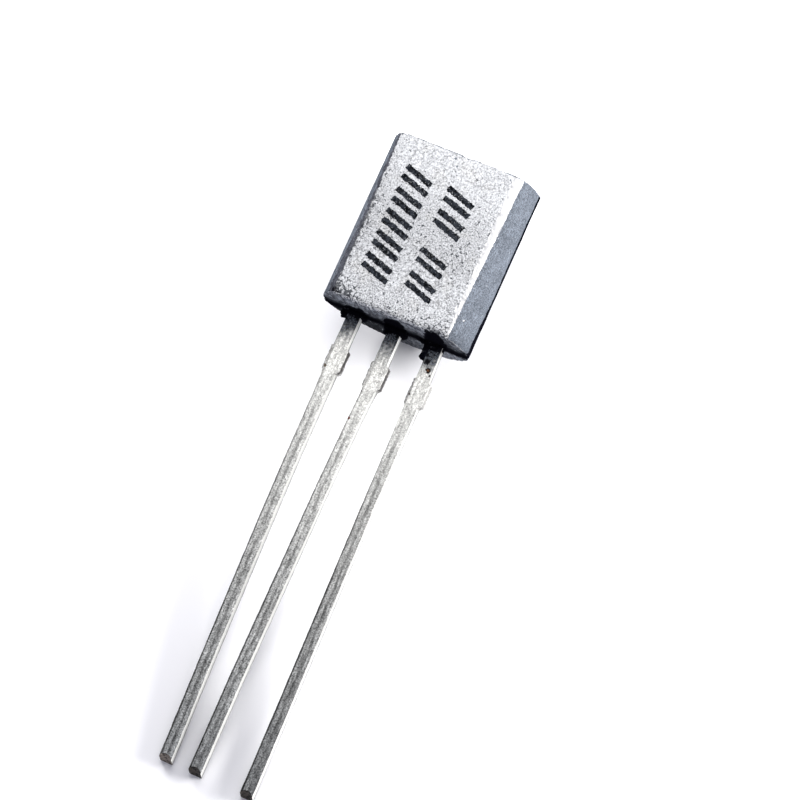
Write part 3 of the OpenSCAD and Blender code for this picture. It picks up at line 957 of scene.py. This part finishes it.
class TRANSISTOR_OT_lead_resin(bpy.types.Operator):
    """Builds the black resin collars round the leads and the flash tab beside the emitter lead"""

    bl_idname = "transistor.lead_resin"
    bl_label = "Resin at the leads"

    def execute(self, context):
        material = black_resin_finish(context.scene.transistor_body)
        pieces = [(node.replace("lead", "collar"), x, LUMPS[node]) for node, x in LEADS.items()]
        pieces.append(("flash_tab", LEADS["emitter_lead"], (TAB_LUMP,)))
        for index, (name, x, lumps) in enumerate(pieces):
            bm = bmesh.new()
            for centre, size in lumps:
                lump(bm, Vector((x, 0, 0)) + Vector(centre), size, LUMP_SEED * index)
            finish_piece(name, bm, [material], "moulded_resin")
        return {"FINISHED"}


# ---- Leads ----

FRONT, SIDEWAYS, STUB, TIP = range(4)
# The left edge stands in by this much below the stubs
LEFT_TRIM = 0.018
# The waviness starts this far below the body
WAVY_FROM = -0.05
# The waviness fades in or out over this much of a lead
FADE = 0.1
# A long corner is an edge at least this long, none of it above this height, that turns more than this
CORNER_LENGTH = 0.15
CORNER_TOP = 0.95
CORNER_ANGLE = 1.0


def node_copy(node):
    """A welded copy of a CAD node's mesh, in the package frame, with flat faces whole again."""
    bm = bmesh.new()
    bm.from_mesh(frame["nodes"][node].data)
    bmesh.ops.transform(bm, matrix=PACKAGE.inverted(), verts=bm.verts)
    bmesh.ops.remove_doubles(bm, verts=bm.verts, dist=0.0005)
    bmesh.ops.dissolve_limit(bm, angle_limit=math.radians(0.1), verts=bm.verts, edges=bm.edges)
    bm.normal_update()
    return bm


def lead_middles(node):
    """Heights of a lead's own corners from the stubs down, with the lead's middle at each."""
    levels = {}
    for place in package_points(node):
        if place.z < STUB_LOW - 0.2:
            levels.setdefault(round(place.z, 1), []).append(place.x)
    middles = [(height, (min(places) + max(places)) / 2) for height, places in levels.items()]
    return sorted([*middles, (STUB_LOW, LEADS[node]), (BODY_HEIGHT, LEADS[node])])


def middle_at(middles, height):
    """A lead's middle along X at a height."""
    for (low, start), (high, end) in zip(middles, middles[1:]):
        if height <= high:
            share = max(0.0, (height - low) / (high - low))
            return start + (end - start) * share
    return middles[-1][1]


def lead_face(face):
    """Which finish a lead's face takes, from where it looks and where it is."""
    outward, middle = face.normal, face.calc_center_median()
    if middle.z < LEAD_TIP + 0.3 and outward.z < -0.3:
        return TIP
    if abs(outward.x) > 0.5 and STUB_LOW < middle.z < STUB_TOP:
        return STUB
    return SIDEWAYS if outward.x > 0.8 else FRONT


def is_corner(edge):
    """Whether an edge runs along a lead, below its pad or post, and turns a sharp corner."""
    if edge.calc_length() < CORNER_LENGTH or max(v.co.z for v in edge.verts) > CORNER_TOP:
        return False
    run = (edge.verts[0].co - edge.verts[1].co).normalized()
    return abs(run.z) > 0.5 and edge.calc_face_angle(0) > CORNER_ANGLE


def is_rolled(edge):
    """Whether a corner is the one that the stamping rolled over: front, on the collector side."""
    outward = sum((f.normal for f in edge.link_faces), Vector())
    return outward.x < -0.5 and outward.y < -0.5


def rounded_lead(node, settings):
    """A lead with its long corners rounded, sliced finely enough outside the body to be worn."""
    bm = node_copy(node)
    for rolled, offset in ((True, settings.roll / MM), (False, settings.edge_round / MM)):
        edges = [e for e in bm.edges if is_corner(e) and rolled == is_rolled(e)]
        round_edges(bm, edges, offset, 2, clamped=False)
    gap = settings.slice / MM
    slice_faces(bm, bm.faces[:], 2, steps(LEAD_TIP, 0, gap))
    low, high = package_box(node)
    outside = [f for f in bm.faces if f.calc_center_median().z < 0]
    for axis in (0, 1):
        outside = slice_faces(bm, outside, axis, steps(low[axis], high[axis], gap))
    return bm


def roughness_at(vert, waviness):
    """Depth that a lead's surface lies in by: waves and pits, deepest where a stub was torn."""
    point = vert.co
    torn = ease(point.z, STUB_TOP + FADE, STUB_TOP) * ease(point.z, STUB_LOW - FADE, STUB_LOW)
    torn *= ease(abs(vert.normal.x), 0.3, 0.8)
    wave = noise.noise(Vector((point.x * 4, point.y * 4, point.z * 5)))
    rough = noise.noise(point * 14)
    return max(0.0, waviness * (0.6 + wave * 0.6 + rough * (0.4 + 4 * torn)))


def wear_lead(bm, node, settings):
    """Makes a lead's surface uneven, and names each point's place beside the lead's middle."""
    bm.normal_update()
    middles = lead_middles(node)
    beside = bm.verts.layers.float.new("across")
    shifts = {}
    for vert in bm.verts:
        point = vert.co
        vert[beside] = point.x - middle_at(middles, point.z)
        if point.z <= WAVY_FROM:
            trim = LEFT_TRIM * ease(-vert[beside], 0.12, 0.18) * ease(point.z, STUB_LOW, STUB_LOW - FADE)
            shifts[vert] = Vector((trim, 0, 0)) - vert.normal * roughness_at(vert, settings.waviness / MM)
    move_all(shifts)
    for face in bm.faces:
        face.material_index = lead_face(face)


class TRANSISTOR_OT_leads(bpy.types.Operator):
    """Builds the three tinned leads with their dam-bar stubs and cut tips"""

    bl_idname = "transistor.leads"
    bl_label = "Leads"

    def execute(self, context):
        lead = context.scene.transistor_leads
        # A lit copy of the tin for the side that faces the lamp, with painted light near the body and at
        # the tips.
        bright = tin_finish(
            lead, "bright_tin", level=0.92, grime_and_shade=0.12, dulled=0.0, metallic=0.3, lift=0.65)
        materials = [tin_finish(lead, "dull_tin"), bright, stub_finish(lead), tip_finish(lead)]
        for node in LEADS:
            bm = rounded_lead(node, lead)
            wear_lead(bm, node, lead)
            finish_piece("tinned_" + node, bm, materials, "tinned_lead", node)
        return {"FINISHED"}


# ---- Printed marks ----

# Rows of marks on the flat: middle of the row along X, and where each mark stands along Z
MARK_ROWS = ((-0.885, (1.15, 1.85, 2.53, 3.2, 3.9)), (0.475, (1.1, 1.85, 3.05, 3.75)))
MARK_SLANT = math.radians(18)
# Each mark is two bars, this far to either side of its place
MARK_GAP = 0.15
INK_HEIGHT = 0.005
# The pattern that moves the outline along Z is read this far from the one that moves it along X
RAGGED_SHIFT = Vector((31, 17, 5))


def strayed(point, shift):
    """How far the ink's outline strays at a point, from a pattern read at a shift."""
    return 0.02 * noise.noise(point * 9 + shift) + 0.025 * noise.noise(point * 24 + shift)


def stroke(bm, x, z, length, width):
    """One printed bar with rough ends and sides, lying on the flat."""
    on_flat = Matrix.Translation((x, flat_y(z) - INK_HEIGHT / 2, z)) @ Matrix.Rotation(-FLAT_LEAN, 4, "X")
    turned = on_flat @ Matrix.Rotation(MARK_SLANT, 4, "Y") @ Matrix.Rotation(math.pi / 2, 4, "X")
    made = bmesh.ops.create_grid(
        bm, x_segments=48, y_segments=6, size=0.5, matrix=turned @ Matrix.Diagonal((length, width, 1, 1)))
    for vert in made["verts"]:
        if vert.is_boundary:
            point = vert.co.copy()
            vert.co.x += strayed(point, Vector())
            vert.co.z += strayed(point, RAGGED_SHIFT)
    faces = list(dict.fromkeys(face for vert in made["verts"] for face in vert.link_faces))
    raised = bmesh.ops.extrude_face_region(bm, geom=faces)
    top = only(bmesh.types.BMVert, raised["geom"])
    bmesh.ops.translate(bm, verts=top, vec=(0, INK_HEIGHT, 0))


class TRANSISTOR_OT_marks(bpy.types.Operator):
    """Prints two rows of plain slanted bars on the flat face"""

    bl_idname = "transistor.marks"
    bl_label = "Printed marks"

    def execute(self, context):
        marks = context.scene.transistor_marks
        bm = bmesh.new()
        for x, places in MARK_ROWS:
            for z in places:
                for way in (-1, 1):
                    stroke(bm, x, z + way * MARK_GAP, marks.height / MM, marks.stroke / MM)
        material = ink_finish(marks, context.scene.transistor_body)
        finish_piece("printed_marks", bm, [material], "moulded_resin")
        return {"FINISHED"}


# ---- Sealed pieces ----

# Name of the finish, colour, metallic share, roughness and size of the grain
SEALED = {
    "chip": ("silicon", (0.2, 0.22, 0.28), 0.6, 0.25, 0.05),
    "chip_solder": ("dull_solder", (0.55, 0.55, 0.57), 0.9, 0.5, 0.03),
    "base_wire": ("gold_wire", (0.9, 0.66, 0.25), 1.0, 0.25, 0.02),
    "emitter_wire": ("gold_wire_2", (0.9, 0.66, 0.25), 1.0, 0.25, 0.02),
}


class TRANSISTOR_OT_sealed(bpy.types.Operator):
    """Finishes the chip, its solder and the bond wires, which the resin seals"""

    bl_idname = "transistor.sealed"
    bl_label = "Chip and wires"

    def execute(self, context):
        for node, finish in SEALED.items():
            material = inner_finish(*finish)
            for slot in frame["nodes"][node].material_slots:
                slot.material = material
        return {"FINISHED"}


# ---- Stage ----

# The camera's sensor width in millimetres, and the nearest and farthest that it sees, in metres
SENSOR_WIDTH = 36
NEAREST = 0.005
FARTHEST = 10


def area_light(name, stage):
    """A round, soft lamp that faces the part, with the place and power that its name gives."""
    lamp = bpy.data.lights.new(name, "AREA")
    lamp.shape = "DISK"
    lamp.size = stage.lamp_width
    lamp.energy = getattr(stage, name + "_light")
    lamp.color = stage.lamp_colour
    holder = new_object(name, lamp)
    holder.location = getattr(stage, name + "_place")
    facing = Vector(stage.lamp_target) - holder.location
    holder.rotation_euler = facing.to_track_quat("-Z", "Y").to_euler()


def light_tent(stage):
    """A pale surround, brighter on the right and beyond the top end."""
    world = bpy.data.worlds.new("light_tent")
    world.use_nodes = True
    tree = world.node_tree
    direction = add_node(tree, "TexCoord").outputs["Generated"]
    brighter = (stage.sky_right, stage.sky_far, 0.0)
    tilt = worked("VectorMath", {0: direction, 1: brighter}, operation="DOT_PRODUCT")
    sockets = {0: tilt.outputs["Value"], 1: stage.sky, 2: stage.sky}
    level = worked("Math", sockets, operation="MULTIPLY_ADD")
    background = tree.nodes["Background"]
    plug(background.inputs["Color"], stage.sky_colour)
    plug(background.inputs["Strength"], level.outputs[0])
    bpy.context.scene.world = world


def paper_floor(stage):
    """A flat sheet of white paper that glows a little, as on a light table."""
    paper = Finish("white_paper", roughness=0.9, specular=0.1)
    paper.give("Base Color", stage.floor_colour)
    paper.give("Emission Color", WHITE)
    paper.give("Emission Strength", stage.floor_glow)
    bm = bmesh.new()
    bmesh.ops.create_grid(bm, x_segments=1, y_segments=1, size=1.0)
    floor = mesh_object("floor", bm, [paper.material])
    floor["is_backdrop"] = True


def camera_eye(stage):
    """The camera, where it looks down on the flat face."""
    eye = bpy.data.cameras.new("camera")
    eye.lens = stage.lens
    eye.sensor_width = SENSOR_WIDTH
    eye.clip_start = NEAREST
    eye.clip_end = FARTHEST
    camera = new_object("camera", eye)
    camera.location = stage.camera_place
    camera.rotation_euler = stage.camera_turn
    bpy.context.scene.camera = camera


class TRANSISTOR_OT_stage(bpy.types.Operator):
    """Sets the pale floor, the soft light and the camera"""

    bl_idname = "transistor.stage"
    bl_label = "Stage"

    def execute(self, context):
        stage = context.scene.transistor_stage
        paper_floor(stage)
        light_tent(stage)
        for name in ("left", "right", "top"):
            area_light(name, stage)
        camera_eye(stage)
        context.scene.view_settings.view_transform = "Standard"
        return {"FINISHED"}


# ---- Panel and registration ----

GROUPS = {
    "transistor_body": BodySettings,
    "transistor_leads": LeadSettings,
    "transistor_marks": MarkSettings,
    "transistor_stage": StageSettings,
}
OPERATORS = (
    TRANSISTOR_OT_moulded_body,
    TRANSISTOR_OT_lead_resin,
    TRANSISTOR_OT_leads,
    TRANSISTOR_OT_marks,
    TRANSISTOR_OT_sealed,
    TRANSISTOR_OT_stage,
)


class TRANSISTOR_PT_panel(bpy.types.Panel):
    """Lists the pieces and their settings"""

    bl_idname = "TRANSISTOR_PT_panel"
    bl_label = "Transistor"
    bl_space_type = "VIEW_3D"
    bl_region_type = "UI"
    bl_category = "Transistor"

    def draw(self, context):
        for operator in OPERATORS:
            self.layout.operator(operator.bl_idname)
        for name, group in GROUPS.items():
            box = self.layout.box()
            for setting in group.__annotations__:
                box.prop(getattr(context.scene, name), setting)


def register():
    for cls in (*GROUPS.values(), *OPERATORS, TRANSISTOR_PT_panel):
        bpy.utils.register_class(cls)
    for name, group in GROUPS.items():
        setattr(bpy.types.Scene, name, PointerProperty(type=group))


def unregister():
    for name in GROUPS:
        delattr(bpy.types.Scene, name)
    for cls in reversed((*GROUPS.values(), *OPERATORS, TRANSISTOR_PT_panel)):
        bpy.utils.unregister_class(cls)


def main():
    register()
    bpy.ops.transistor.moulded_body()
    bpy.ops.transistor.lead_resin()
    bpy.ops.transistor.leads()
    bpy.ops.transistor.marks()
    bpy.ops.transistor.sealed()
    bpy.ops.transistor.stage()
    boxes = {"cad": CAD_BOX, "visual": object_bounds()}
    {name: [list(corner) for corner in box] for name, box in boxes.items()}


if __name__ == "__main__":
    main()
